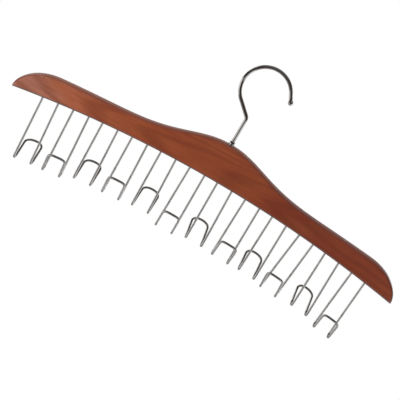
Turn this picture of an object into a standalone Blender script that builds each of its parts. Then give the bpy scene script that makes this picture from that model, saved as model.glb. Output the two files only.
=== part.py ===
"""Wooden belt hanger: an arched bar on a swivel hook, with twelve wire belt hooks below it.

Units are metres. X runs along the bar, Y from the front to the back, Z up.
The origin is the rail seat, the highest point inside the eye of the swivel hook.
Each piece is drawn from the middle of the bar's underside, on the axis of the hook's shaft.
"""

import math

import bmesh
import bpy
from mathutils import Vector

# Fits
CLEARANCE = 0.0003
CUT_OVERRUN = 0.002
WELD_DISTANCE = 0.00001

# Wooden bar
BAR_LENGTH = 0.445
BAR_THICKNESS = 0.012
MIDDLE_HEIGHT = 0.0403
INNER_ARM_HEIGHT = 0.0171
OUTER_ARM_HEIGHT = 0.0262
CROWN_SPREAD = 0.0577
SHOULDER_LENGTH = 0.0408
ARCH_RADIUS = 1.284
EDGE_RADIUS = 0.003
EDGE_LIMIT_SHARE = 0.45

# Swivel hook
HOOK_WIRE_DIAMETER = 0.0038
EYE_RADIUS = 0.0249
EYE_OFFSET = 0.003
EYE_HEIGHT = 0.0633
NECK_ANGLE = math.radians(47)
NECK_BEND_RADIUS = 0.006
TIP_ANGLE = math.radians(28)
TIP_RUN = 0.0093
BALL_DIAMETER = 0.0054

# Bushing pressed into the top of the bar
BUSHING_FLANGE_DIAMETER = 0.007
BUSHING_FLANGE_THICKNESS = 0.0009
BUSHING_NECK_DIAMETER = 0.0058
BUSHING_DOME_HEIGHT = 0.0027
BUSHING_SPIGOT_DIAMETER = 0.006
BUSHING_SPIGOT_LENGTH = 0.012
BUSHING_WALL_AT_TOP = 0.0004

# Washer and nut that hold the shaft, in a recess in the underside
RECESS_DIAMETER = 0.0086
RECESS_DEPTH = 0.0068
WASHER_DIAMETER = 0.0076
WASHER_THICKNESS = 0.0008
NUT_ACROSS_FLATS = 0.0065
NUT_THICKNESS = 0.0026
NUT_EDGE_BEVEL = 0.0003
SHAFT_PAST_NUT = 0.001

# Belt hooks
BELT_HOOK_COUNT = 12
END_MARGIN = 0.0424
BELT_WIRE_DIAMETER = 0.0025
SPACE_BETWEEN_HOOKS = 0.0158
LEG_SPREAD = 0.0016
LEG_IN_BAR = 0.011
HOOK_DROP = 0.0698
HOOK_BEND_RADIUS = 0.0039
LEG_REACH = 0.0026
CROSSBAR_REACH = 0.0141
CROSSBAR_DROP = 0.0484
CROSSBAR_BOW = 0.0025
HOOP_HEIGHT = 0.0047
HOOP_SQUARENESS = 2.5

# How each hand-bent belt hook differs, left to right: how far it is off to the right as a share
# of the pitch, how much lower its legs are set and how far they lean as shares of the drop, and
# how far its crossbar is off to the right as a share of the leg spacing
PLACE_SHARES = (
    -0.013, 0.009, -0.008, 0.002, -0.005, 0.011, -0.015, -0.007, -0.015, 0.006, -0.019, 0.008
)
LOWER_SET_SHARES = (
    0.07, 0.007, -0.004, -0.07, -0.027, 0.002, 0.013, -0.044, 0.005, -0.035, 0.003, -0.007
)
LEG_LEAN_SHARES = (
    0.006, 0.018, 0, 0.01, 0.011, -0.008, 0.023, -0.005, 0.008, -0.077, 0.03, -0.035
)
CROSSBAR_SHIFT_SHARES = (
    0.084, 0.005, 0.056, -0.014, 0.077, 0, -0.174, 0.045, -0.098, -0.197, -0.166, 0.001
)

# Fineness of the round shapes
ARM_STEPS = 22
SHOULDER_STEPS = 8
ARCH_STEPS = 26
EDGE_SEGMENTS = 3
EYE_STEPS = 30
NECK_STEPS = 4
BALL_STEPS = 5
BEND_STEPS = 9
HOOP_STEPS = 12
HOOK_WIRE_STEPS = 4
BELT_WIRE_STEPS = 2
TURNED_SIDES = 20
LEG_HOLE_SIDES = 12
NUT_SIDES = 6
SMOOTH_ANGLE = math.radians(40)

# Sizes worked out from the ones above
HALF_LENGTH = BAR_LENGTH / 2
ARM_LENGTH = HALF_LENGTH - SHOULDER_LENGTH
EYE_CENTRE_Z = MIDDLE_HEIGHT + EYE_HEIGHT
SEAT_Z = EYE_CENTRE_Z + EYE_RADIUS - HOOK_WIRE_DIAMETER / 2
SHAFT_HOLE_DIAMETER = HOOK_WIRE_DIAMETER + 2 * CLEARANCE
WASHER_TOP_Z = RECESS_DEPTH - CLEARANCE
NUT_TOP_Z = WASHER_TOP_Z - WASHER_THICKNESS - CLEARANCE
SHAFT_END_Z = NUT_TOP_Z - NUT_THICKNESS - SHAFT_PAST_NUT
BELT_HOOK_PITCH = (BAR_LENGTH - 2 * END_MARGIN) / (BELT_HOOK_COUNT - 1)
LEG_SPACING_AT_BAR = BELT_HOOK_PITCH - SPACE_BETWEEN_HOOKS
LEG_SPACING_AT_BEND = LEG_SPACING_AT_BAR + LEG_SPREAD

# Colours and finishes
CHERRY_LACQUER = (0.242, 0.061, 0.032)
CHROME = (0.72, 0.72, 0.74)
ZINC = (0.55, 0.56, 0.58)
LACQUER_ROUGHNESS = 0.32
CHROME_ROUGHNESS = 0.12
ZINC_ROUGHNESS = 0.35


def clear_scene():
    for obj in list(bpy.data.objects):
        bpy.data.objects.remove(obj, do_unlink=True)


def make_material(name, colour, roughness, metallic):
    material = bpy.data.materials.new(name)
    material.use_nodes = True
    shader = material.node_tree.nodes["Principled BSDF"]
    shader.inputs["Base Color"].default_value = (*colour, 1)
    shader.inputs["Roughness"].default_value = roughness
    shader.inputs["Metallic"].default_value = metallic
    return material


def make_frame(name):
    """Empty on the shaft's axis, level with the middle of the bar's underside."""
    frame = bpy.data.objects.new(name, None)
    frame.location = (-EYE_OFFSET, 0, -SEAT_Z)
    bpy.context.scene.collection.objects.link(frame)
    return frame


def add_object(name, data, frame, material=None):
    obj = bpy.data.objects.new(name, data)
    bpy.context.scene.collection.objects.link(obj)
    obj.parent = frame
    if material:
        data.materials.append(material)
    return obj


def finish_mesh(name, bm):
    bmesh.ops.recalc_face_normals(bm, faces=bm.faces)
    mesh = bpy.data.meshes.new(name)
    bm.to_mesh(mesh)
    bm.free()
    mesh.shade_smooth()
    mesh.set_sharp_from_angle(angle=SMOOTH_ANGLE)
    return mesh


def spin_profile(bm, profile, sides, closed):
    """Turn (radius, height) points about Z. An open profile starts and ends on the axis."""
    verts = [bm.verts.new((radius, 0, height)) for radius, height in profile]
    ends = verts[1:] + verts[:1] if closed else verts[1:]
    edges = [bm.edges.new(pair) for pair in zip(verts, ends)]
    bmesh.ops.spin(
        bm,
        geom=verts + edges,
        axis=(0, 0, 1),
        cent=(0, 0, 0),
        steps=sides,
        angle=math.tau,
        use_merge=True,
    )
    bmesh.ops.remove_doubles(bm, verts=bm.verts, dist=WELD_DISTANCE)


def turned_mesh(name, profile, sides, closed=True):
    bm = bmesh.new()
    spin_profile(bm, profile, sides, closed)
    return finish_mesh(name, bm)


def add_rod(bm, start, end, radius, sides):
    """Straight round rod between two points."""
    run = end - start
    placing = Vector((0, 0, 1)).rotation_difference(run).to_matrix().to_4x4()
    placing.translation = (start + end) / 2
    bmesh.ops.create_cone(
        bm,
        cap_ends=True,
        segments=sides,
        radius1=radius,
        radius2=radius,
        depth=run.length,
        matrix=placing,
    )


def wire_curve(name, points, diameter, steps, swelling=None):
    """Round wire through the points, with filled ends."""
    curve = bpy.data.curves.new(name, "CURVE")
    curve.dimensions = "3D"
    curve.bevel_depth = diameter / 2
    curve.bevel_resolution = steps
    curve.use_fill_caps = True
    spline = curve.splines.new("POLY")
    spline.points.add(len(points) - 1)
    for index, (node, place) in enumerate(zip(spline.points, points)):
        node.co = (*place, 1)
        node.radius = swelling[index] if swelling else 1
    return curve


def cut_away(obj, cutter):
    cutter.hide_render = True
    cutter.display_type = "WIRE"
    cut = obj.modifiers.new("cut", "BOOLEAN")
    cut.operation = "DIFFERENCE"
    cut.solver = "EXACT"
    cut.object = cutter


def underside_z(x):
    """Height of the arched underside, x along from the middle."""
    return math.sqrt(ARCH_RADIUS**2 - x**2) - ARCH_RADIUS


def bar_height(x):
    """Height of the bar, x along from the middle: a taper, the crown and the round shoulder."""
    run = abs(x)
    taper = INNER_ARM_HEIGHT + (OUTER_ARM_HEIGHT - INNER_ARM_HEIGHT) * run / HALF_LENGTH
    crown = (MIDDLE_HEIGHT - INNER_ARM_HEIGHT) * math.exp(-((run / CROWN_SPREAD) ** 2))
    into_shoulder = max(0, run - ARM_LENGTH) / SHOULDER_LENGTH
    return (taper + crown) * math.sqrt(max(0, 1 - into_shoulder**2))


def bar_outline():
    """Outline of the bar in X and Z: over the top from left to right, back along the arch."""
    arm = [ARM_LENGTH * step / ARM_STEPS for step in range(ARM_STEPS)]
    turns = [math.pi / 2 * step / SHOULDER_STEPS for step in range(SHOULDER_STEPS + 1)]
    right = arm + [ARM_LENGTH + SHOULDER_LENGTH * math.sin(turn) for turn in turns]
    top = [-x for x in reversed(right[1:])] + right
    arch = [HALF_LENGTH * (1 - 2 * step / ARCH_STEPS) for step in range(1, ARCH_STEPS)]
    over = [(x, underside_z(x) + bar_height(x)) for x in top]
    back = [(x, underside_z(x)) for x in arch]
    return over + back


def bar_mesh():
    bm = bmesh.new()
    front = [bm.verts.new((x, -BAR_THICKNESS / 2, z)) for x, z in bar_outline()]
    face = bm.faces.new(front)
    extruded = bmesh.ops.extrude_face_region(bm, geom=[face])["geom"]
    moved = [item for item in extruded if isinstance(item, bmesh.types.BMVert)]
    bmesh.ops.translate(bm, verts=moved, vec=(0, BAR_THICKNESS, 0))
    return finish_mesh("wood_bar", bm)


def shaft_bore_mesh():
    """Cutter for the recess, the shaft's bore and the wider bore of the bushing."""
    recess = RECESS_DIAMETER / 2
    shaft = SHAFT_HOLE_DIAMETER / 2
    spigot = BUSHING_SPIGOT_DIAMETER / 2 + CLEARANCE
    ledge = MIDDLE_HEIGHT - BUSHING_SPIGOT_LENGTH
    top = MIDDLE_HEIGHT + CUT_OVERRUN
    profile = [
        (0, -CUT_OVERRUN),
        (recess, -CUT_OVERRUN),
        (recess, RECESS_DEPTH),
        (shaft, RECESS_DEPTH),
        (shaft, ledge),
        (spigot, ledge),
        (spigot, top),
        (0, top),
    ]
    return turned_mesh("shaft_bore", profile, TURNED_SIDES, closed=False)


def leg_hole_mesh():
    """Cutter for the blind holes that hold the legs of the belt hooks."""
    bm = bmesh.new()
    radius = BELT_WIRE_DIAMETER / 2 + CLEARANCE
    for index in range(BELT_HOOK_COUNT):
        for side in (-1, 1):
            inner = belt_hook_point(index, *leg_point(index, side, -LEG_IN_BAR - CLEARANCE))
            below = CUT_OVERRUN - lower_set(index)
            outer = belt_hook_point(index, *leg_point(index, side, below))
            add_rod(bm, inner, outer, radius, LEG_HOLE_SIDES)
    return finish_mesh("leg_holes", bm)


def make_wood_bar(frame, wood):
    bar = add_object("wood_bar", bar_mesh(), frame, wood)
    rounding = bar.modifiers.new("rounded edges", "BEVEL")
    rounding.width = min(EDGE_RADIUS, BAR_THICKNESS * EDGE_LIMIT_SHARE)
    rounding.segments = EDGE_SEGMENTS
    rounding.limit_method = "ANGLE"
    rounding.angle_limit = SMOOTH_ANGLE
    cut_away(bar, add_object("shaft_bore_cutter", shaft_bore_mesh(), frame))
    cut_away(bar, add_object("leg_hole_cutter", leg_hole_mesh(), frame))


def arc_points(centre, radius, first, last, steps):
    """Points in the XZ plane from one angle to another about a centre, both included."""
    angles = [first + (last - first) * step / steps for step in range(steps + 1)]
    return [
        Vector((centre.x + radius * math.cos(angle), 0, centre.z + radius * math.sin(angle)))
        for angle in angles
    ]


def ball_profile(centre, direction):
    """Points through the ball along its wire, with the ball's radius at each."""
    ball = BALL_DIAMETER / 2
    wire = HOOK_WIRE_DIAMETER / 2
    first = math.asin(wire / ball)
    last = math.pi - math.asin(wire / ball) / 2
    angles = [first + (last - first) * step / BALL_STEPS for step in range(BALL_STEPS + 1)]
    points = [centre - direction * ball * math.cos(angle) for angle in angles]
    return points, [ball * math.sin(angle) / wire for angle in angles]


def swivel_hook_path():
    """Shaft, neck, eye and ball tip as points, with the wire's swelling at each."""
    eye = Vector((EYE_OFFSET, 0, EYE_CENTRE_Z))
    neck_way = Vector((-math.sin(NECK_ANGLE), 0, math.cos(NECK_ANGLE)))
    onto_eye = eye - Vector((math.cos(NECK_ANGLE), 0, math.sin(NECK_ANGLE))) * EYE_RADIUS
    corner = onto_eye + neck_way * (onto_eye.x / math.sin(NECK_ANGLE))
    cut_back = NECK_BEND_RADIUS * math.tan(NECK_ANGLE / 2)
    bend_centre = Vector((-NECK_BEND_RADIUS, 0, corner.z - cut_back))
    path = [Vector((0, 0, SHAFT_END_Z))]
    path += arc_points(bend_centre, NECK_BEND_RADIUS, 0, NECK_ANGLE, NECK_STEPS)
    path += arc_points(eye, EYE_RADIUS, math.pi + NECK_ANGLE, TIP_ANGLE, EYE_STEPS)
    tip_way = Vector((math.sin(TIP_ANGLE), 0, -math.cos(TIP_ANGLE)))
    ball_points, ball_swelling = ball_profile(path[-1] + tip_way * TIP_RUN, tip_way)
    return path + ball_points, [1] * len(path) + ball_swelling


def make_swivel_hook(frame, chrome):
    points, swelling = swivel_hook_path()
    curve = wire_curve("swivel_hook", points, HOOK_WIRE_DIAMETER, HOOK_WIRE_STEPS, swelling)
    add_object("swivel_hook", curve, frame, chrome)


def make_bushing(frame, chrome):
    """Flanged bushing: a spigot in the bore, a flange on the bar and a domed collar above."""
    bore = SHAFT_HOLE_DIAMETER / 2
    spigot = BUSHING_SPIGOT_DIAMETER / 2
    flange = BUSHING_FLANGE_DIAMETER / 2
    neck = BUSHING_NECK_DIAMETER / 2
    foot_z = MIDDLE_HEIGHT - BUSHING_SPIGOT_LENGTH + CLEARANCE
    seat_z = MIDDLE_HEIGHT + CLEARANCE
    flange_z = seat_z + BUSHING_FLANGE_THICKNESS
    turns = [math.pi / 2 * step / NECK_STEPS for step in range(NECK_STEPS + 1)]
    lip = bore + BUSHING_WALL_AT_TOP
    dome = [
        (lip + (neck - lip) * math.cos(turn), flange_z + BUSHING_DOME_HEIGHT * math.sin(turn))
        for turn in turns
    ]
    profile = [(bore, foot_z), (spigot, foot_z), (spigot, seat_z), (flange, seat_z)]
    profile += [(flange, flange_z)] + dome + [(bore, dome[-1][1])]
    add_object("hook_bushing", turned_mesh("hook_bushing", profile, TURNED_SIDES), frame, chrome)


def make_washer(frame, zinc):
    bore = SHAFT_HOLE_DIAMETER / 2
    rim = WASHER_DIAMETER / 2
    low = WASHER_TOP_Z - WASHER_THICKNESS
    profile = [(bore, low), (rim, low), (rim, WASHER_TOP_Z), (bore, WASHER_TOP_Z)]
    mesh = turned_mesh("retaining_washer", profile, TURNED_SIDES)
    add_object("retaining_washer", mesh, frame, zinc)


def make_nut(frame, zinc):
    bore = SHAFT_HOLE_DIAMETER / 2
    corner = NUT_ACROSS_FLATS / 2 / math.cos(math.pi / NUT_SIDES)
    low = NUT_TOP_Z - NUT_THICKNESS
    bm = bmesh.new()
    add_rod(bm, Vector((0, 0, low)), Vector((0, 0, NUT_TOP_Z)), corner, NUT_SIDES)
    nut = add_object("retaining_nut", finish_mesh("retaining_nut", bm), frame, zinc)
    easing = nut.modifiers.new("eased edges", "BEVEL")
    easing.width = NUT_EDGE_BEVEL
    bm = bmesh.new()
    overrun = Vector((0, 0, CUT_OVERRUN))
    through = (Vector((0, 0, low)) - overrun, Vector((0, 0, NUT_TOP_Z)) + overrun)
    add_rod(bm, *through, bore, TURNED_SIDES)
    cut_away(nut, add_object("nut_bore_cutter", finish_mesh("nut_bore", bm), frame))


def belt_hook_x(index):
    return (index - (BELT_HOOK_COUNT - 1) / 2 + PLACE_SHARES[index]) * BELT_HOOK_PITCH


def lower_set(index):
    """How much lower than its evenly set neighbours a belt hook's legs sit in the bar."""
    return LOWER_SET_SHARES[index] * HOOK_DROP


def belt_hook_point(index, x, out, drop):
    """Place a point of a belt hook: x along, out towards its open side, drop below the bar.

    The hooks face the back and the front by turns, and each hangs level with the arch above it.
    """
    facing = 1 if index % 2 == 0 else -1
    along = belt_hook_x(index) + x + LEG_LEAN_SHARES[index] * drop
    root_z = underside_z(belt_hook_x(index) + x) - lower_set(index)
    return Vector((along, facing * out, root_z - drop))


def bend_centre():
    """Centre of the hook's bend as its distance out and its drop."""
    return LEG_REACH + HOOK_BEND_RADIUS, HOOK_DROP - HOOK_BEND_RADIUS


def leg_slant():
    """Angle at which a leg leans outwards to run into the bend without a kink."""
    out, drop = bend_centre()
    return math.atan2(out, drop) - math.asin(HOOK_BEND_RADIUS / math.hypot(out, drop))


def return_slant():
    """Angle at which the wire leans outwards from the bend up to the crossbar."""
    out, drop = bend_centre()
    run = CROSSBAR_REACH - out
    rise = drop - CROSSBAR_DROP
    return math.atan2(run, rise) - math.asin(HOOK_BEND_RADIUS / math.hypot(run, rise))


def leg_point(index, side, drop):
    """Point on a leg's straight line, at a drop below the bar's underside."""
    spread = LEG_SPREAD * drop / bend_centre()[1]
    return side * (LEG_SPACING_AT_BAR + spread) / 2, drop * math.tan(leg_slant()), drop


def crossbar_shift(index):
    return CROSSBAR_SHIFT_SHARES[index] * LEG_SPACING_AT_BEND


def bend_points(index, side):
    """The bend under the hook, from its leg round to the return up to the crossbar.

    The crossbar's shift comes little by little, along the bend and the return.
    """
    out, drop = bend_centre()
    first = leg_slant()
    last = math.pi - return_slant()
    bend_length = HOOK_BEND_RADIUS * (last - first)
    return_length = math.hypot(CROSSBAR_REACH - out, drop - CROSSBAR_DROP)
    shift = crossbar_shift(index) * bend_length / (bend_length + return_length)
    points = []
    for step in range(BEND_STEPS + 1):
        done = step / BEND_STEPS
        turn = first + (last - first) * done
        along = side * LEG_SPACING_AT_BEND / 2 + shift * done
        points.append(
            (
                along,
                out - HOOK_BEND_RADIUS * math.cos(turn),
                drop + HOOK_BEND_RADIUS * math.sin(turn),
            )
        )
    return points


def hoop_points(index):
    """The raised crossbar with its round corners, bowed outwards, from left to right."""
    half = LEG_SPACING_AT_BEND / 2
    shift = crossbar_shift(index)
    power = 2 / HOOP_SQUARENESS
    points = []
    for step in range(HOOP_STEPS + 1):
        turn = math.pi * step / HOOP_STEPS
        share = -math.copysign(abs(math.cos(turn)) ** power, math.cos(turn))
        rise = HOOP_HEIGHT * max(0, math.sin(turn)) ** power
        below = HOOP_HEIGHT - rise
        bow = CROSSBAR_BOW * (1 - share**2)
        out = CROSSBAR_REACH - below * math.tan(return_slant()) + bow
        points.append((half * share + shift, out, CROSSBAR_DROP + below))
    return points


def belt_hook_path(index):
    """One wire: a leg, its bend, the crossbar, and the second bend and leg."""
    left = [leg_point(index, -1, -LEG_IN_BAR)] + bend_points(index, -1)
    right = bend_points(index, 1)[::-1] + [leg_point(index, 1, -LEG_IN_BAR)]
    return [belt_hook_point(index, *point) for point in left + hoop_points(index) + right]


def make_belt_hook(index, frame, chrome):
    name = f"belt_hook_{index + 1:02d}"
    path = belt_hook_path(index)
    curve = wire_curve(name, path, BELT_WIRE_DIAMETER, BELT_WIRE_STEPS)
    add_object(name, curve, frame, chrome)


def build():
    clear_scene()
    wood = make_material("cherry_lacquer", CHERRY_LACQUER, LACQUER_ROUGHNESS, metallic=0)
    chrome = make_material("polished_chrome", CHROME, CHROME_ROUGHNESS, metallic=1)
    zinc = make_material("zinc_plate", ZINC, ZINC_ROUGHNESS, metallic=1)
    hook_frame = make_frame("hook_frame")
    bar_frame = make_frame("bar_frame")
    make_swivel_hook(hook_frame, chrome)
    make_washer(hook_frame, zinc)
    make_nut(hook_frame, zinc)
    make_bushing(bar_frame, chrome)
    make_wood_bar(bar_frame, wood)
    for index in range(BELT_HOOK_COUNT):
        make_belt_hook(index, bar_frame, chrome)


build()
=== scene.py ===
"""Looks of the belt hanger: fine meshes, finishes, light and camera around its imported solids.

Units are metres, in the frame of the solids: X runs along the bar, Y from the front to the
back, Z up. The origin is the rail seat, the highest point inside the eye of the swivel hook.
"""

import math
from collections import namedtuple

import bmesh
import bpy
from mathutils import Matrix, Vector


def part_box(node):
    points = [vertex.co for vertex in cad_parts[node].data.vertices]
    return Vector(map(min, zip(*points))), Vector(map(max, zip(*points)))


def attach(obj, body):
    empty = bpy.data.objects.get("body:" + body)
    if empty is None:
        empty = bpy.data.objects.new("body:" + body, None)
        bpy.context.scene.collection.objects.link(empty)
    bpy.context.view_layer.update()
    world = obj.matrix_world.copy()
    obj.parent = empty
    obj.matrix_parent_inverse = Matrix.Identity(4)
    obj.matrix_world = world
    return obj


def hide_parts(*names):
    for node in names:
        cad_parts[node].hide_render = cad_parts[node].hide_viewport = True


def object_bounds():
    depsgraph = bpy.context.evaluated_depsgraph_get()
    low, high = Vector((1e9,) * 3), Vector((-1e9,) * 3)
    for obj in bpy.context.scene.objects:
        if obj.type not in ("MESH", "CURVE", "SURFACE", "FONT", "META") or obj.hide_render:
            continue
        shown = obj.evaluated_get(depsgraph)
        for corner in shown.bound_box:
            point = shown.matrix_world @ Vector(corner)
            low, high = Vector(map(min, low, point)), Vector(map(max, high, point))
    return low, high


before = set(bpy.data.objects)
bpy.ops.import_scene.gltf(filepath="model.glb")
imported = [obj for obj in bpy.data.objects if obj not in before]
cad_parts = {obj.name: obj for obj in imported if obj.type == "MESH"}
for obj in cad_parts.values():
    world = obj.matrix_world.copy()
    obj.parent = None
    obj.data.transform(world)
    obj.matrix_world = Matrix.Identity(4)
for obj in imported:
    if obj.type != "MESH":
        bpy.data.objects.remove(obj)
cad_low, cad_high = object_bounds()
bar_low, bar_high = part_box("wood_bar")

# Wooden bar
BAR_LENGTH = 0.445
BAR_THICKNESS = bar_high.y - bar_low.y
HALF_LENGTH = (bar_high.x - bar_low.x) / 2
MIDDLE_HEIGHT = 0.0403
INNER_ARM_HEIGHT = 0.0171
OUTER_ARM_HEIGHT = 0.0262
CROWN_SPREAD = 0.0577
SHOULDER_LENGTH = 0.0408
ARCH_RADIUS = 1.284
EDGE_RADIUS = 0.003
TIP_RADIUS = 0.0013
LEAST_TIP_RADIUS = 0.000013
SHAFT_BORE_DIAMETER = 0.0044
SHAFT_RECESS_DIAMETER = 0.0086
SHAFT_RECESS_DEPTH = 0.0068
BORE_OVERRUN = 0.002

# Swivel hook and its bushing
HOOK_WIRE_DIAMETER = 0.0038
EYE_RADIUS = 0.0249
EYE_OFFSET = 0.003
EYE_HEIGHT = 0.0633
NECK_ANGLE = math.radians(47)
NECK_BEND_RADIUS = 0.006
TIP_ANGLE = math.radians(28)
TIP_RUN = 0.0093
BALL_DIAMETER = 0.0054
BALL_END_ANGLE = math.pi * 0.98
SHAFT_END_HEIGHT = 0.0018
SHAFT_CHAMFER = 0.0003
BUSHING_FLANGE_DIAMETER = 0.007
BUSHING_FLANGE_THICKNESS = 0.0009
BUSHING_NECK_DIAMETER = 0.0058
BUSHING_DOME_HEIGHT = 0.0027
BUSHING_SPIGOT_DIAMETER = 0.006
BUSHING_SPIGOT_LENGTH = 0.0117
BUSHING_LIP = 0.0004
BUSHING_EDGE_RADIUS = 0.00025
SEAT_GAP = 0.0003

# Belt hooks, with the same tables of hand-bent differences as the solids
BELT_HOOK_COUNT = 12
END_MARGIN = 0.0424
BELT_WIRE_DIAMETER = 0.0025
SPACE_BETWEEN_HOOKS = 0.0158
LEG_SPREAD = 0.0016
LEG_IN_BAR = 0.011
LEG_HOLE_GAP = 0.00008
HOOK_DROP = 0.0698
HOOK_BEND_RADIUS = 0.0039
LEG_REACH = 0.0026
CROSSBAR_REACH = 0.0141
CROSSBAR_DROP = 0.0484
CROSSBAR_BOW = 0.0025
HOOP_HEIGHT = 0.0047
HOOP_SQUARENESS = 2.5
PLACE_SHARES = (
    -0.013, 0.009, -0.008, 0.002, -0.005, 0.011, -0.015, -0.007, -0.015, 0.006, -0.019, 0.008
)
LOWER_SET_SHARES = (
    0.07, 0.007, -0.004, -0.07, -0.027, 0.002, 0.013, -0.044, 0.005, -0.035, 0.003, -0.007
)
LEG_LEAN_SHARES = (
    0.006, 0.018, 0, 0.01, 0.011, -0.008, 0.023, -0.005, 0.008, -0.077, 0.03, -0.035
)
CROSSBAR_SHIFT_SHARES = (
    0.084, 0.005, 0.056, -0.014, 0.077, 0, -0.174, 0.045, -0.098, -0.197, -0.166, 0.001
)

# Fineness of the meshes
ARM_STEPS = 160
SHOULDER_STEPS = 60
ARCH_STEPS = 120
TOP_POINTS = 90
UNDER_POINTS = 60
TIP_STEPS = 5
MERGE_DISTANCE = 0.00001
EDGE_STEPS = 7
EYE_STEPS = 72
NECK_STEPS = 12
BALL_STEPS = 14
BEND_STEPS = 9
HOOP_STEPS = 12
LEG_STEPS = 6
CORNER_CUT = 0.25
CORNER_ROUNDS = 2
WIRE_SIDES = 20
HOLE_SIDES = 24
TURNED_SIDES = 48
SHARP_ANGLE = math.radians(50)

# Sizes worked out from the ones above
ARM_LENGTH = HALF_LENGTH - SHOULDER_LENGTH
ARCH_CENTRE = Vector((0, -ARCH_RADIUS))
EYE_CENTRE_Z = MIDDLE_HEIGHT + EYE_HEIGHT
SEAT_Z = EYE_CENTRE_Z + EYE_RADIUS - HOOK_WIRE_DIAMETER / 2
BAR_MIDDLE = Vector((-EYE_OFFSET, 0, -SEAT_Z))
BELT_HOOK_PITCH = (BAR_LENGTH - 2 * END_MARGIN) / (BELT_HOOK_COUNT - 1)
LEG_SPACING_AT_BAR = BELT_HOOK_PITCH - SPACE_BETWEEN_HOOKS
LEG_SPACING_AT_BEND = LEG_SPACING_AT_BAR + LEG_SPREAD

# A layer of noise: its scale along X, Y and Z and its detail, the low and high ends of the
# range that shows, the share that it changes of a colour, and its roughness as a noise
Layer = namedtuple("Layer", "scale detail low high share roughness", defaults=(1, 0.5))

# Colours, linear
# Pale pink of the left end: partly the wood's own tone, partly painted sheen
CHERRY_SHEEN_PALE = (0.415, 0.157, 0.100)
CHERRY_TAN = (0.415, 0.114, 0.050)
CHERRY_MID = (0.300, 0.059, 0.019)
CHERRY_DEEP = (0.202, 0.029, 0.010)
CHERRY_ORANGE = (0.370, 0.090, 0.022)
CHERRY_DARK = (0.130, 0.021, 0.007)
# Painted shade for the rounded edges
CHERRY_EDGE_SHADE = (0.080, 0.016, 0.009)
CHERRY_PORE = (0.080, 0.016, 0.007)
CHROME_BRIGHT = (0.58, 0.565, 0.55)
CHROME_DULL = (0.44, 0.43, 0.415)
ZINC_BRIGHT = (0.60, 0.61, 0.64)
ZINC_DULL = (0.40, 0.41, 0.44)
WHITE = (1, 1, 1)

# The pale pink left end and the darker right are partly the wood's own tone, partly painted sheen
# and painted light falling from the left.
# Wood: each tone comes in over a range of X, up to its share, on top of the pale left end
CHERRY_TONES_AND_SHEEN = (
    (CHERRY_TAN, -0.205, -0.16, 1),
    (CHERRY_MID, -0.145, -0.085, 1),
    (CHERRY_DEEP, 0, 0.09, 1),
    (CHERRY_MID, 0.08, 0.18, 0.5),
)
TONE_SWAY = 0.03
SWAY = Layer(scale=(11, 30, 30), detail=3, low=0.3, high=0.7)
BLOTCHES = Layer(scale=(16, 45, 45), detail=3, low=0.42, high=0.7, share=0.45)
FIBRES = Layer(scale=(28, 650, 650), detail=4, low=0.3, high=0.72, share=0.34, roughness=0.6)
PORES = Layer(scale=(130, 2600, 2600), detail=2, low=0.62, high=0.74, share=0.5, roughness=0.7)
HEART_PLACE = (0, -0.036, 0.118)
HEART_TURN = (0, math.radians(1), math.radians(2.4))
RING_PITCH = 0.0028
RING_WOBBLE = 0.006
RING_WAVER = Layer(scale=(9, 60, 60), detail=2, low=0, high=1)
RING_START = -0.4
RING_SHARE = 0.36

# Painted shade on the wood's rounded edges, darker over a range of the normal's Y, and more so low
# down
EDGE_FACING = (0.3, 0.92)
EDGE_BLUR = 0.15
EDGE_TILT = 0.3
EDGE_SHARE_LOW = 0.85
EDGE_SHARE_HIGH = 0.58

# Lacquer
GRAIN_DEPTH = 0.00002
GRAIN_STRENGTH = 0.4
FLOW_SCALE = (420, 420, 420)
FLOW_DETAIL = 2
FLOW_DEPTH = 0.00003
FLOW_STRENGTH = 0.1
SATIN = Layer(scale=(30, 90, 90), detail=3, low=0.3, high=0.7)
SATIN_ROUGHNESS = (0.3, 0.42)
LACQUER = {
    "IOR": 1.5,
    "Specular IOR Level": 0.6,
    "Coat Weight": 1,
    "Coat Roughness": 0.16,
    "Coat IOR": 1.75,
}

# Plated metal
CLOUDS = Layer(scale=(160, 160, 160), detail=4, low=0.35, high=0.7, share=0.6)
SPOTS = Layer(scale=(900, 900, 900), detail=3, low=0.62, high=0.72, share=0.5)
MARK_SCALE = (2600, 2600, 240)
MARK_DETAIL = 3
MARK_DEPTH = 0.000004
MARK_STRENGTH = 0.5
CHROME_ROUGHNESS = (0.06, 0.2)
ZINC_ROUGHNESS = (0.3, 0.5)

# Camera, fitted to the photograph
AZIMUTH = math.radians(-1.157)
ELEVATION = math.radians(18.43)
ROLL = math.radians(30.385)
CAMERA_DISTANCE = 0.928
FOCAL_SHARE = 909 / 400
SENSOR_WIDTH = 36
TARGET = BAR_MIDDLE + Vector((0.00097, 0, -0.0258))

# Floor and light. Each lamp has its place, width, height and power.
FLOOR_DROP = 0.55
FLOOR_SIZE = 1.5
FLOOR_PALE = (0.44, 0.44, 0.44)
FLOOR_PALER = (0.47, 0.47, 0.47)
FLOOR_SPECKLE = Layer(scale=(40, 40, 40), detail=5, low=0.3, high=0.7)
FLOOR_ROUGHNESS = 0.9
FLOOR_GLOSSY_SHARE = 0.05
AMBIENT = (0.3, 0.3, 0.3)
LAMPS = (
    ("key_left", (-1.1, -1.2, 0.45), 0.9, 0.9, 27),
    ("fill_right", (1.3, -1.2, 0.45), 0.9, 0.9, 5),
    ("fill_back", (0.6, 1.6, 0.2), 0.9, 0.9, 22),
    ("top", (0, 0.1, 1.4), 1.2, 0.8, 3),
)

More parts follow.
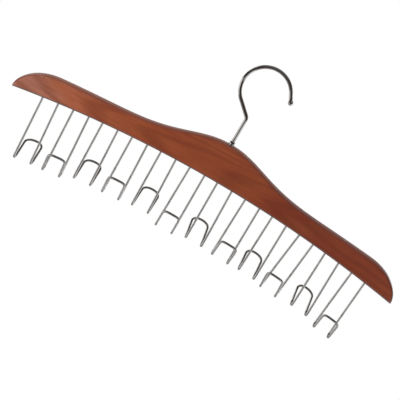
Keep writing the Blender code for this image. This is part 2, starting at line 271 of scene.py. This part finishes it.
# Dark cloth that bright metal mirrors: a far round screen with openings to the white room.
# Each opening is the ranges of X, Y and Z of the direction to it. Behind and above the set
# the cloth is thin, so part of the white shows through.
CLOTH_RADIUS = 12
CLOTH_SEGMENTS = 48
CLOTH_COLOUR = (0.062, 0.054, 0.049)
CLOTH_OPENINGS = (
    ((-1.2, -0.5), (-1.2, 1.2), (-0.75, -0.13)),
    ((-1.2, -0.55), (0.15, 1.2), (0.2, 0.65)),
    ((0.48, 1.2), (-1.2, 1.2), (-0.75, -0.2)),
    ((0.5, 1.2), (0.15, 1.2), (-0.25, 0.5)),
    ((0.12, 1.2), (0.3, 1.2), (-0.62, -0.1)),
    ((-0.5, 0.6), (0.3, 1.2), (-0.85, -0.52)),
)
OPENING_BLUR = 0.12
BACK_START = 0.68
BACK_THINNESS = 0.2
BACK_LOWEST = -0.6
ABOVE_START = 0.62
ABOVE_THINNESS = 0.22
THIN_BLUR = 0.2


def add_object(name, data):
    obj = bpy.data.objects.new(name, data)
    bpy.context.scene.collection.objects.link(obj)
    return obj


def add_piece(name, mesh, node, body, material):
    """Show a fine mesh in place of its solid, on the body that the solid belongs to."""
    piece = add_object(name, mesh)
    mesh.materials.append(material)
    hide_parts(node)
    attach(piece, body)
    return piece


def finish_mesh(name, bm):
    bmesh.ops.recalc_face_normals(bm, faces=bm.faces)
    mesh = bpy.data.meshes.new(name)
    bm.to_mesh(mesh)
    bm.free()
    mesh.shade_smooth()
    mesh.set_sharp_from_angle(angle=SHARP_ANGLE)
    return mesh


# Round wire


def smoothed(points):
    """Cut the corners of a path, as a bent wire has none."""
    for _ in range(CORNER_ROUNDS):
        cut = [points[0]]
        for start, end in zip(points, points[1:]):
            cut.append(start.lerp(end, CORNER_CUT))
            cut.append(start.lerp(end, 1 - CORNER_CUT))
        cut.append(points[-1])
        points = cut
    return points


def wire_mesh(name, points, radii, sides=WIRE_SIDES):
    """Closed tube along the points, one radius for each."""
    bm = bmesh.new()
    ways = [(points[1] - points[0]).normalized()]
    for before, after in zip(points, points[2:]):
        ways.append((after - before).normalized())
    ways.append((points[-1] - points[-2]).normalized())
    across = ways[0].orthogonal().normalized()
    rings = []
    for place, radius, way, previous in zip(points, radii, ways, [ways[0]] + ways):
        across = previous.rotation_difference(way) @ across
        side = way.cross(across)
        ring = []
        for step in range(sides):
            turn = math.tau * step / sides
            spoke = across * math.cos(turn) + side * math.sin(turn)
            ring.append(bm.verts.new(place + spoke * radius))
        rings.append(ring)
    for lower, upper in zip(rings, rings[1:]):
        for step in range(sides):
            follow = (step + 1) % sides
            bm.faces.new((lower[step], lower[follow], upper[follow], upper[step]))
    bm.faces.new(rings[0][::-1])
    bm.faces.new(rings[-1])
    return finish_mesh(name, bm)


# Wooden bar


def underside_z(x):
    """Height of the arched underside, x along from the middle."""
    return math.sqrt(ARCH_RADIUS**2 - x**2) - ARCH_RADIUS


def bar_height(x):
    """Height of the bar, x along from the middle: a taper, the crown and the round shoulder."""
    run = abs(x)
    taper = INNER_ARM_HEIGHT + (OUTER_ARM_HEIGHT - INNER_ARM_HEIGHT) * run / HALF_LENGTH
    crown = (MIDDLE_HEIGHT - INNER_ARM_HEIGHT) * math.exp(-((run / CROWN_SPREAD) ** 2))
    into_shoulder = max(0, run - ARM_LENGTH) / SHOULDER_LENGTH
    return (taper + crown) * math.sqrt(max(0, 1 - into_shoulder**2))


def offset_line(points, depth):
    """The line moved to its right-hand side."""
    moved = []
    last = len(points) - 1
    for index, point in enumerate(points):
        run = (points[min(index + 1, last)] - points[max(index - 1, 0)]).normalized()
        moved.append(point + Vector((run.y, -run.x)) * depth)
    return moved


def respaced(points, count):
    """The line with a set number of points, closer together towards its end."""
    travelled = [0]
    for start, end in zip(points, points[1:]):
        travelled.append(travelled[-1] + (end - start).length)
    placed = []
    index = 0
    for step in range(count):
        reach = travelled[-1] * math.sin(math.pi / 2 * step / (count - 1))
        while index < len(points) - 2 and travelled[index + 1] < reach:
            index += 1
        share = (reach - travelled[index]) / (travelled[index + 1] - travelled[index])
        placed.append(points[index].lerp(points[index + 1], min(share, 1)))
    return placed


def top_line():
    """The bar's upper edge in X and Z, from its middle out to the right tip."""
    arm = [ARM_LENGTH * step / ARM_STEPS for step in range(ARM_STEPS)]
    turns = [math.pi / 2 * step / SHOULDER_STEPS for step in range(SHOULDER_STEPS + 1)]
    along = arm + [ARM_LENGTH + SHOULDER_LENGTH * math.sin(turn) for turn in turns]
    return [Vector((x, underside_z(x) + bar_height(x))) for x in along]


def line_to_tip(line, depth):
    """The upper edge, moved inwards, as far as it meets the underside moved in as far."""
    heights = [(point - ARCH_CENTRE).length - ARCH_RADIUS - depth for point in line]
    index = max(index for index, height in enumerate(heights[:-1]) if height > 0)
    share = heights[index] / (heights[index] - heights[index + 1])
    return line[: index + 1] + [line[index].lerp(line[index + 1], share)]


def underside_line(corner):
    """The underside from its middle to the corner at the tip, moved in as far as the corner."""
    spoke = corner - ARCH_CENTRE
    last = math.atan2(spoke.x, spoke.y)
    turns = [last * (step / ARCH_STEPS) for step in range(ARCH_STEPS + 1)]
    return [
        ARCH_CENTRE + Vector((math.sin(turn), math.cos(turn))) * spoke.length for turn in turns
    ]


def tip_arc(start, end, middle):
    """Points of the arc about the middle, between its two ends."""
    first = start - middle
    final = end - middle
    sweep = first.angle(final)
    points = []
    for step in range(1, TIP_STEPS):
        share = step / TIP_STEPS
        mixed = first * math.sin((1 - share) * sweep) + final * math.sin(share * sweep)
        points.append(middle + mixed / math.sin(sweep))
    return points


def half_ring(depth):
    """Right half of the outline moved inwards: over the top, round the tip, and back."""
    over = line_to_tip(offset_line(top_line(), depth), depth)
    corner = over[-1]
    radius = max(TIP_RADIUS - depth, LEAST_TIP_RADIUS)
    over = [point for point in over if (point - corner).length > radius]
    under = [point for point in underside_line(corner) if (point - corner).length > radius]
    before = (over[-1] - corner).normalized()
    after = (under[-1] - corner).normalized()
    over.append(corner + before * radius)
    under.append(corner + after * radius)
    reach = radius / math.cos(before.angle(after) / 2)
    tip = tip_arc(over[-1], under[-1], corner + (before + after).normalized() * reach)
    return respaced(over, TOP_POINTS) + tip + respaced(under, UNDER_POINTS)[::-1]


def full_ring(depth):
    right = half_ring(depth)
    left = [Vector((-point.x, point.y)) for point in right[1:-1]]
    return right + left[::-1]


def bar_mesh():
    """Bar with quarter-round edges: rings of the outline, from the front face to the back."""
    half = BAR_THICKNESS / 2
    turns = [math.pi / 2 * step / EDGE_STEPS for step in range(EDGE_STEPS + 1)]
    rounding = [(EDGE_RADIUS * (1 - math.sin(t)), EDGE_RADIUS * (1 - math.cos(t))) for t in turns]
    stations = [(inset, -half + depth) for inset, depth in rounding]
    stations += [(inset, half - depth) for inset, depth in reversed(rounding)]
    bm = bmesh.new()
    rings = []
    for inset, y in stations:
        points = full_ring(inset)
        rings.append([bm.verts.new(BAR_MIDDLE + Vector((p.x, y, p.y))) for p in points])
    count = len(rings[0])
    for near, far in zip(rings, rings[1:]):
        for index in range(count):
            follow = (index + 1) % count
            bm.faces.new((near[index], near[follow], far[follow], far[index]))
    bm.faces.new(rings[0])
    bm.faces.new(rings[-1][::-1])
    bmesh.ops.remove_doubles(bm, verts=bm.verts, dist=MERGE_DISTANCE)
    return finish_mesh("wood_bar_fine", bm)


def leg_hole_mesh():
    """Cutter for the leg holes: closed rods."""
    bm = bmesh.new()
    radius = BELT_WIRE_DIAMETER / 2 + LEG_HOLE_GAP
    for index in range(BELT_HOOK_COUNT):
        for side in (-1, 1):
            inner = belt_hook_point(index, *leg_point(index, side, -LEG_IN_BAR - LEG_HOLE_GAP))
            below = BORE_OVERRUN - lower_set(index)
            outer = belt_hook_point(index, *leg_point(index, side, below))
            run = outer - inner
            placing = Vector((0, 0, 1)).rotation_difference(run).to_matrix().to_4x4()
            placing.translation = (inner + outer) / 2
            bmesh.ops.create_cone(
                bm,
                cap_ends=True,
                segments=HOLE_SIDES,
                radius1=radius,
                radius2=radius,
                depth=run.length,
                matrix=placing,
            )
    return finish_mesh("leg_holes", bm)


def shaft_hole_mesh():
    """Cutter for the recess, the shaft's bore and the bushing's bore: one stepped rod."""
    recess = SHAFT_RECESS_DIAMETER / 2
    bore = SHAFT_BORE_DIAMETER / 2
    spigot = BUSHING_SPIGOT_DIAMETER / 2 + SEAT_GAP
    ledge = MIDDLE_HEIGHT - BUSHING_SPIGOT_LENGTH - SEAT_GAP
    steps = [
        (-BORE_OVERRUN, recess),
        (SHAFT_RECESS_DEPTH, recess),
        (SHAFT_RECESS_DEPTH, bore),
        (ledge, bore),
        (ledge, spigot),
        (MIDDLE_HEIGHT + BORE_OVERRUN, spigot),
    ]
    points = [BAR_MIDDLE + Vector((0, 0, height)) for height, _ in steps]
    return wire_mesh("shaft_hole", points, [radius for _, radius in steps], HOLE_SIDES)


def make_wood_bar(material):
    blank = add_object("bar_blank", bar_mesh())
    cutters = [add_object(mesh.name, mesh) for mesh in (leg_hole_mesh(), shaft_hole_mesh())]
    for cutter in cutters:
        cut = blank.modifiers.new("holes", "BOOLEAN")
        cut.operation = "DIFFERENCE"
        cut.solver = "EXACT"
        cut.object = cutter
    graph = bpy.context.evaluated_depsgraph_get()
    mesh = bpy.data.meshes.new_from_object(blank.evaluated_get(graph))
    mesh.name = "lacquered_bar"
    for tool in (blank, *cutters):
        bpy.data.objects.remove(tool, do_unlink=True)
    mesh.shade_smooth()
    mesh.set_sharp_from_angle(angle=SHARP_ANGLE)
    bar = add_piece("lacquered_bar", mesh, "wood_bar", "hanger", material)
    evened = bar.modifiers.new("even shading", "WEIGHTED_NORMAL")
    evened.keep_sharp = True


# Swivel hook and bushing


def arc_points(centre, radius, first, last, steps):
    """Points in the XZ plane from one angle to another about a centre, both included."""
    angles = [first + (last - first) * step / steps for step in range(steps + 1)]
    return [
        Vector((centre.x + radius * math.cos(angle), 0, centre.z + radius * math.sin(angle)))
        for angle in angles
    ]


def swivel_hook_path():
    """Shaft, neck, eye and ball tip as points, with the wire's radius at each."""
    wire = HOOK_WIRE_DIAMETER / 2
    ball = BALL_DIAMETER / 2
    eye = Vector((EYE_OFFSET, 0, EYE_CENTRE_Z))
    neck_way = Vector((-math.sin(NECK_ANGLE), 0, math.cos(NECK_ANGLE)))
    onto_eye = eye - Vector((math.cos(NECK_ANGLE), 0, math.sin(NECK_ANGLE))) * EYE_RADIUS
    corner = onto_eye + neck_way * (onto_eye.x / math.sin(NECK_ANGLE))
    cut_back = NECK_BEND_RADIUS * math.tan(NECK_ANGLE / 2)
    bend = Vector((-NECK_BEND_RADIUS, 0, corner.z - cut_back))
    foot = Vector((0, 0, SHAFT_END_HEIGHT))
    points = [foot, foot + Vector((0, 0, SHAFT_CHAMFER))]
    radii = [wire - SHAFT_CHAMFER, wire]
    round_part = arc_points(bend, NECK_BEND_RADIUS, 0, NECK_ANGLE, NECK_STEPS)
    round_part += arc_points(eye, EYE_RADIUS, math.pi + NECK_ANGLE, TIP_ANGLE, EYE_STEPS)
    points += round_part
    radii += [wire] * len(round_part)
    tip_way = Vector((math.sin(TIP_ANGLE), 0, -math.cos(TIP_ANGLE)))
    centre = points[-1] + tip_way * TIP_RUN
    first = math.asin(wire / ball)
    for step in range(BALL_STEPS + 1):
        angle = first + (BALL_END_ANGLE - first) * step / BALL_STEPS
        points.append(centre - tip_way * ball * math.cos(angle))
        radii.append(ball * math.sin(angle))
    return [BAR_MIDDLE + point for point in points], radii


def make_swivel_hook(material):
    points, radii = swivel_hook_path()
    mesh = wire_mesh("swivel_hook_fine", points, radii)
    add_piece("plated_swivel_hook", mesh, "swivel_hook", "hook", material)


def turned_mesh(name, profile):
    """Closed (radius, height) outline turned about the shaft's axis."""
    bm = bmesh.new()
    rings = []
    for step in range(TURNED_SIDES):
        turn = math.tau * step / TURNED_SIDES
        spoke = Vector((math.cos(turn), math.sin(turn), 0))
        rings.append([bm.verts.new(BAR_MIDDLE + spoke * r + Vector((0, 0, z))) for r, z in profile])
    count = len(profile)
    for near, far in zip(rings, rings[1:] + rings[:1]):
        for index in range(count):
            follow = (index + 1) % count
            bm.faces.new((near[index], far[index], far[follow], near[follow]))
    return finish_mesh(name, bm)


def make_bushing(material):
    """Spigot in the bar, flange with a rounded rim, and domed collar."""
    bore = SHAFT_BORE_DIAMETER / 2
    spigot = BUSHING_SPIGOT_DIAMETER / 2
    edge = BUSHING_EDGE_RADIUS
    rim = BUSHING_FLANGE_DIAMETER / 2 - edge
    lip = bore + BUSHING_LIP
    collar = BUSHING_NECK_DIAMETER / 2 - lip
    seat = MIDDLE_HEIGHT + SEAT_GAP
    foot = MIDDLE_HEIGHT - BUSHING_SPIGOT_LENGTH
    top = seat + BUSHING_FLANGE_THICKNESS
    dome = BUSHING_DOME_HEIGHT
    turns = [math.pi / 2 * step / NECK_STEPS for step in range(NECK_STEPS + 1)]
    quarter = [(math.cos(turn), math.sin(turn)) for turn in turns]
    profile = [(bore, foot), (spigot, foot), (spigot, seat), (rim, seat)]
    profile += [(rim + edge * sine, seat + edge - edge * cosine) for cosine, sine in quarter]
    profile += [(rim + edge * cosine, top - edge + edge * sine) for cosine, sine in quarter]
    profile += [(lip + collar * cosine, top + dome * sine) for cosine, sine in quarter]
    profile += [(bore, top + dome)]
    mesh = turned_mesh("bushing_fine", profile)
    add_piece("plated_bushing", mesh, "hook_bushing", "hanger", material)


# Belt hooks


def belt_hook_x(index):
    """Middle of a belt hook, x along from the middle of the bar."""
    return (index - (BELT_HOOK_COUNT - 1) / 2 + PLACE_SHARES[index]) * BELT_HOOK_PITCH


def lower_set(index):
    return LOWER_SET_SHARES[index] * HOOK_DROP


def belt_hook_point(index, x, out, drop):
    """Place a point of a belt hook: x along, out towards its open side, drop below the bar."""
    facing = 1 if index % 2 == 0 else -1
    along = belt_hook_x(index) + x + LEG_LEAN_SHARES[index] * drop
    root_z = underside_z(belt_hook_x(index) + x) - lower_set(index)
    return BAR_MIDDLE + Vector((along, facing * out, root_z - drop))


def bend_centre():
    """Centre of the hook's bend as its distance out and its drop."""
    return LEG_REACH + HOOK_BEND_RADIUS, HOOK_DROP - HOOK_BEND_RADIUS


def leg_slant():
    """Angle by which a leg runs outwards on its way down to the bend."""
    out, drop = bend_centre()
    return math.atan2(out, drop) - math.asin(HOOK_BEND_RADIUS / math.hypot(out, drop))


def return_slant():
    """Angle by which the wire runs outwards on its way up from the bend to the crossbar."""
    out, drop = bend_centre()
    run = CROSSBAR_REACH - out
    rise = drop - CROSSBAR_DROP
    return math.atan2(run, rise) - math.asin(HOOK_BEND_RADIUS / math.hypot(run, rise))


def leg_point(index, side, drop):
    """Point on a leg's straight line, at a drop below the bar's underside."""
    spread = LEG_SPREAD * drop / bend_centre()[1]
    return side * (LEG_SPACING_AT_BAR + spread) / 2, drop * math.tan(leg_slant()), drop


def crossbar_shift(index):
    return CROSSBAR_SHIFT_SHARES[index] * LEG_SPACING_AT_BEND


def bend_points(index, side):
    """The bend under the hook, from its leg round to the return up to the crossbar."""
    out, drop = bend_centre()
    first = leg_slant()
    last = math.pi - return_slant()
    bend_length = HOOK_BEND_RADIUS * (last - first)
    return_length = math.hypot(CROSSBAR_REACH - out, drop - CROSSBAR_DROP)
    shift = crossbar_shift(index) * bend_length / (bend_length + return_length)
    points = []
    for step in range(BEND_STEPS + 1):
        done = step / BEND_STEPS
        turn = first + (last - first) * done
        along = side * LEG_SPACING_AT_BEND / 2 + shift * done
        reach = out - HOOK_BEND_RADIUS * math.cos(turn)
        points.append((along, reach, drop + HOOK_BEND_RADIUS * math.sin(turn)))
    return points


def hoop_points(index):
    """The raised crossbar with its round corners, bowed outwards, from left to right."""
    half = LEG_SPACING_AT_BEND / 2
    power = 2 / HOOP_SQUARENESS
    points = []
    for step in range(HOOP_STEPS + 1):
        turn = math.pi * step / HOOP_STEPS
        share = -math.copysign(abs(math.cos(turn)) ** power, math.cos(turn))
        rise = HOOP_HEIGHT * max(0, math.sin(turn)) ** power
        below = HOOP_HEIGHT - rise
        bow = CROSSBAR_BOW * (1 - share**2)
        out = CROSSBAR_REACH - below * math.tan(return_slant()) + bow
        points.append((half * share + crossbar_shift(index), out, CROSSBAR_DROP + below))
    return points


def leg_points(index, side):
    """The leg from its end in the bar down to where the bend starts."""
    last = bend_centre()[1]
    drops = [-LEG_IN_BAR + (last + LEG_IN_BAR) * step / LEG_STEPS for step in range(LEG_STEPS)]
    return [leg_point(index, side, drop) for drop in drops]


def belt_hook_path(index):
    """One wire: a leg, its bend, the crossbar, and the second bend and leg."""
    left = leg_points(index, -1) + bend_points(index, -1)
    right = bend_points(index, 1)[::-1] + leg_points(index, 1)[::-1]
    return [belt_hook_point(index, *point) for point in left + hoop_points(index) + right]


def make_belt_hooks(material):
    for index in range(BELT_HOOK_COUNT):
        node = f"belt_hook_{index + 1:02d}"
        points = smoothed(belt_hook_path(index))
        mesh = wire_mesh(node + "_fine", points, [BELT_WIRE_DIAMETER / 2] * len(points))
        add_piece("plated_" + node, mesh, node, "hanger", material)


# Finishes


class Shading:
    """The nodes of one material, each added with its inputs and joined to what feeds it."""

    def __init__(self, tree):
        self.tree = tree
        tree.nodes.clear()

    def add(self, kind, inputs=None, **settings):
        node = self.tree.nodes.new(kind)
        for name, value in settings.items():
            setattr(node, name, value)
        for name, value in (inputs or {}).items():
            if isinstance(value, bpy.types.NodeSocket):
                self.tree.links.new(value, node.inputs[name])
            else:
                node.inputs[name].default_value = value
        return node

    def place(self):
        """Place on the object."""
        return self.add("ShaderNodeTexCoord").outputs["Object"]

    def parts(self, vector):
        return self.add("ShaderNodeSeparateXYZ", {"Vector": vector}).outputs

    def noise(self, scale, detail, roughness=0.5):
        """Noise on the object, with its own scale along each direction."""
        mapped = self.add("ShaderNodeMapping", {"Vector": self.place(), "Scale": scale})
        inputs = {
            "Vector": mapped.outputs["Vector"],
            "Scale": 1,
            "Detail": detail,
            "Roughness": roughness,
        }
        return self.add("ShaderNodeTexNoise", inputs).outputs["Fac"]

    def layer(self, layer, to_low=0, to_high=1):
        """The part of a layer's noise that shows, spread over a range."""
        value = self.noise(layer.scale, layer.detail, layer.roughness)
        return self.spread(value, layer.low, layer.high, to_low, to_high)

    def math(self, operation, first, second=0):
        node = self.add("ShaderNodeMath", {0: first, 1: second}, operation=operation)
        return node.outputs[0]

    def spread(self, value, low, high, to_low=0, to_high=1):
        """The value between low and high, moved to a new range and held inside it."""
        inputs = {
            "Value": value,
            "From Min": low,
            "From Max": high,
            "To Min": to_low,
            "To Max": to_high,
        }
        return self.add("ShaderNodeMapRange", inputs).outputs["Result"]

    def within(self, value, span, blur):
        """One inside the span and nothing outside it, with a soft border."""
        low, high = span
        rising = self.spread(value, low - blur / 2, low + blur / 2)
        falling = self.spread(value, high + blur / 2, high - blur / 2)
        return self.math("MULTIPLY", rising, falling)

    def mix(self, share, first, second):
        """Two colours mixed, each plain or from a node."""
        node = self.add("ShaderNodeMix", data_type="RGBA")
        values = {"Factor": share, "A": first, "B": second}
        for socket in node.inputs:
            if socket.enabled and socket.name in values:
                value = values[socket.name]
                if isinstance(value, bpy.types.NodeSocket):
                    self.tree.links.new(value, socket)
                else:
                    socket.default_value = (*value, 1)
        return next(socket for socket in node.outputs if socket.enabled)

    def tinted(self, colour, tone, amount, share):
        """The colour changed to a tone by a share of the amount."""
        return self.mix(self.math("MULTIPLY", amount, share), colour, tone)

    def bump(self, height, distance, strength, normal=None):
        inputs = {"Height": height, "Distance": distance, "Strength": strength}
        if normal:
            inputs["Normal"] = normal
        return self.add("ShaderNodeBump", inputs).outputs["Normal"]


def new_material(name):
    material = bpy.data.materials.new(name)
    material.use_nodes = True
    return material, Shading(material.node_tree)


def year_rings(shading):
    """Share of late wood: rings about the tree's heart, which runs aslant behind the bar."""
    turned = shading.add(
        "ShaderNodeMapping",
        {"Vector": shading.place(), "Location": HEART_PLACE, "Rotation": HEART_TURN},
    )
    across = shading.parts(turned.outputs["Vector"])
    flat = shading.add("ShaderNodeCombineXYZ", {"Y": across["Y"], "Z": across["Z"]})
    away = shading.add("ShaderNodeVectorMath", {0: flat.outputs[0]}, operation="LENGTH")
    wobble = shading.layer(RING_WAVER, 0, RING_WOBBLE)
    depth = shading.math("ADD", away.outputs["Value"], wobble)
    wave = shading.math("SINE", shading.math("MULTIPLY", depth, math.tau / RING_PITCH))
    return shading.spread(wave, RING_START, 1)


def painted_edge_shade(shading):
    """Share of painted shade on the rounded edges, from the way that the surface faces."""
    normal = shading.parts(shading.add("ShaderNodeTexCoord").outputs["Normal"])
    facing = shading.math("ABSOLUTE", normal["Y"])
    turned = shading.within(facing, EDGE_FACING, EDGE_BLUR)
    depth = shading.spread(normal["Z"], -EDGE_TILT, EDGE_TILT, EDGE_SHARE_LOW, EDGE_SHARE_HIGH)
    return shading.math("MULTIPLY", turned, depth)


def cherry_material():
    """Reddish-brown cherry under satin lacquer, with its grain along the bar."""
    material, shading = new_material("cherry_under_lacquer")
    place = shading.parts(shading.place())
    along = shading.math("ADD", place["X"], shading.layer(SWAY, -TONE_SWAY, TONE_SWAY))
    # Tones along the bar: partly the wood's own, partly painted sheen at the pale left end and
    # painted shade towards the right
    colour = CHERRY_SHEEN_PALE
    for tone, start, end, share in CHERRY_TONES_AND_SHEEN:
        colour = shading.mix(shading.spread(along, start, end, 0, share), colour, tone)
    fibres = shading.layer(FIBRES)
    pores = shading.math("MULTIPLY", shading.layer(PORES), PORES.share)
    colour = shading.tinted(colour, CHERRY_ORANGE, shading.layer(BLOTCHES), BLOTCHES.share)
    colour = shading.tinted(colour, CHERRY_DARK, year_rings(shading), RING_SHARE)
    colour = shading.tinted(colour, CHERRY_DARK, fibres, FIBRES.share)
    colour = shading.mix(pores, colour, CHERRY_PORE)
    # Painted shade on the rounded edges, heavier on the lower ones
    colour = shading.mix(painted_edge_shade(shading), colour, CHERRY_EDGE_SHADE)
    grain = shading.bump(shading.math("ADD", fibres, pores), GRAIN_DEPTH, GRAIN_STRENGTH)
    flow = shading.noise(FLOW_SCALE, FLOW_DETAIL)
    shader = shading.add(
        "ShaderNodeBsdfPrincipled",
        {
            "Base Color": colour,
            "Roughness": shading.layer(SATIN, *SATIN_ROUGHNESS),
            "Normal": shading.bump(flow, FLOW_DEPTH, FLOW_STRENGTH, grain),
            **LACQUER,
        },
    )
    shading.add("ShaderNodeOutputMaterial", {"Surface": shader.outputs["BSDF"]})
    return material


def metal_material(name, bright, dull, roughness):
    """Plated metal: faint cloudy dulling, fine drawn marks and small spots."""
    material, shading = new_material(name)
    clouds = shading.layer(CLOUDS)
    spots = shading.layer(SPOTS)
    marks = shading.noise(MARK_SCALE, MARK_DETAIL)
    colour = shading.tinted(bright, dull, clouds, CLOUDS.share)
    colour = shading.tinted(colour, dull, spots, SPOTS.share)
    worn = shading.math("ADD", clouds, spots)
    shader = shading.add(
        "ShaderNodeBsdfPrincipled",
        {
            "Base Color": colour,
            "Metallic": 1,
            "Roughness": shading.spread(worn, 0, 2, *roughness),
            "Normal": shading.bump(marks, MARK_DEPTH, MARK_STRENGTH),
        },
    )
    shading.add("ShaderNodeOutputMaterial", {"Surface": shader.outputs["BSDF"]})
    return material


def dress_inner_pieces(zinc):
    """The washer and nut in the recess keep their solids and get their plating."""
    for name in ("retaining_washer", "retaining_nut"):
        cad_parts[name].data.materials.clear()
        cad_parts[name].data.materials.append(zinc)


# Floor, cloth, world, lamps and camera


def floor_material():
    """Pale floor that reads white where nothing shades it."""
    material, shading = new_material("studio_floor")
    colour = shading.mix(shading.layer(FLOOR_SPECKLE), FLOOR_PALE, FLOOR_PALER)
    plain = shading.add("ShaderNodeBsdfDiffuse", {"Color": colour, "Roughness": FLOOR_ROUGHNESS})
    path = shading.add("ShaderNodeLightPath").outputs
    mirrored = shading.math("MULTIPLY", path["Is Glossy Ray"], FLOOR_GLOSSY_SHARE)
    seen = shading.math("MAXIMUM", path["Is Camera Ray"], path["Is Transmission Ray"])
    seen = shading.math("MAXIMUM", seen, mirrored)
    glow = shading.add("ShaderNodeEmission", {"Color": (*WHITE, 1), "Strength": seen})
    both = shading.add("ShaderNodeAddShader", {0: plain.outputs[0], 1: glow.outputs[0]})
    shading.add("ShaderNodeOutputMaterial", {"Surface": both.outputs[0]})
    return material


def make_floor():
    mesh = bpy.data.meshes.new("floor")
    half = FLOOR_SIZE / 2
    z = cad_low.z - FLOOR_DROP
    corners = [(-half, -half, z), (half, -half, z), (half, half, z), (-half, half, z)]
    mesh.from_pydata(corners, [], [(0, 1, 2, 3)])
    floor = add_object("floor", mesh)
    mesh.materials.append(floor_material())


def cloth_material():
    """Dark cloth with soft-edged openings, thinner behind and above."""
    material, shading = new_material("dark_cloth")
    outward = shading.add("ShaderNodeVectorMath", {0: shading.place()}, operation="NORMALIZE")
    way = shading.parts(outward.outputs["Vector"])
    back = shading.spread(way["Y"], BACK_START, BACK_START + THIN_BLUR, 0, BACK_THINNESS)
    raised = shading.spread(way["Z"], BACK_LOWEST, BACK_LOWEST + THIN_BLUR)
    back = shading.math("MULTIPLY", back, raised)
    above = shading.spread(way["Z"], ABOVE_START, ABOVE_START + THIN_BLUR, 0, ABOVE_THINNESS)
    clear = shading.math("MAXIMUM", back, above)
    for opening in CLOTH_OPENINGS:
        inside = [shading.within(way[axis], span, OPENING_BLUR) for axis, span in enumerate(opening)]
        flat = shading.math("MULTIPLY", inside[0], inside[1])
        clear = shading.math("MAXIMUM", clear, shading.math("MULTIPLY", flat, inside[2]))
    cloth = shading.add("ShaderNodeEmission", {"Color": (*CLOTH_COLOUR, 1)})
    through = shading.add("ShaderNodeBsdfTransparent")
    both = shading.add(
        "ShaderNodeMixShader",
        {0: clear, 1: cloth.outputs["Emission"], 2: through.outputs["BSDF"]},
    )
    shading.add("ShaderNodeOutputMaterial", {"Surface": both.outputs["Shader"]})
    return material


def make_cloth():
    """Screen round the set that only mirrored rays see, as dark flags stand out of a picture."""
    bm = bmesh.new()
    bmesh.ops.create_uvsphere(
        bm,
        u_segments=CLOTH_SEGMENTS,
        v_segments=CLOTH_SEGMENTS // 2,
        radius=CLOTH_RADIUS,
    )
    cloth = add_object("cloth", finish_mesh("cloth", bm))
    cloth.data.materials.append(cloth_material())
    cloth.visible_camera = False
    cloth.visible_diffuse = False
    cloth.visible_transmission = False
    cloth.visible_shadow = False


def make_world():
    """White all round for the camera, gloss and glass, and a dim even fill for the rest."""
    world = bpy.data.worlds.new("studio")
    world.use_nodes = True
    bpy.context.scene.world = world
    shading = Shading(world.node_tree)
    path = shading.add("ShaderNodeLightPath").outputs
    seen = shading.math("MAXIMUM", path["Is Camera Ray"], path["Is Glossy Ray"])
    seen = shading.math("MAXIMUM", seen, path["Is Transmission Ray"])
    sky = shading.add("ShaderNodeBackground", {"Color": shading.mix(seen, AMBIENT, WHITE)})
    shading.add("ShaderNodeOutputWorld", {"Surface": sky.outputs["Background"]})


def make_lamps():
    """Area lamps that light the object and aren't mirrored in it."""
    for name, place, width, height, power in LAMPS:
        data = bpy.data.lights.new(name, "AREA")
        data.shape = "RECTANGLE"
        data.size = width
        data.size_y = height
        data.energy = power
        lamp = add_object(name, data)
        lamp.location = place
        lamp.rotation_mode = "QUATERNION"
        lamp.rotation_quaternion = (BAR_MIDDLE - Vector(place)).to_track_quat("-Z", "Y")
        lamp.visible_glossy = False


def make_camera():
    """Camera at the photograph's viewpoint, with the roll that sets the hanger aslant."""
    right = Vector((math.cos(AZIMUTH), math.sin(AZIMUTH), 0))
    level = Vector((-math.sin(AZIMUTH), math.cos(AZIMUTH), 0))
    up = Vector((0, 0, 1))
    forward = level * math.cos(ELEVATION) - up * math.sin(ELEVATION)
    above = level * math.sin(ELEVATION) + up * math.cos(ELEVATION)
    picture_right = right * math.cos(ROLL) + above * math.sin(ROLL)
    picture_up = above * math.cos(ROLL) - right * math.sin(ROLL)
    data = bpy.data.cameras.new("camera")
    data.sensor_width = SENSOR_WIDTH
    data.lens = SENSOR_WIDTH * FOCAL_SHARE
    camera = add_object("camera", data)
    turned = Matrix((picture_right, picture_up, -forward)).transposed().to_4x4()
    camera.matrix_world = Matrix.Translation(TARGET - forward * CAMERA_DISTANCE) @ turned
    bpy.context.scene.camera = camera


def build():
    bpy.context.scene.view_settings.view_transform = "Standard"
    chrome = metal_material("polished_chrome_plate", CHROME_BRIGHT, CHROME_DULL, CHROME_ROUGHNESS)
    zinc = metal_material("zinc_plating", ZINC_BRIGHT, ZINC_DULL, ZINC_ROUGHNESS)
    make_wood_bar(cherry_material())
    make_swivel_hook(chrome)
    make_bushing(chrome)
    make_belt_hooks(chrome)
    dress_inner_pieces(zinc)
    make_world()
    make_lamps()
    make_cloth()
    make_floor()
    make_camera()


build()
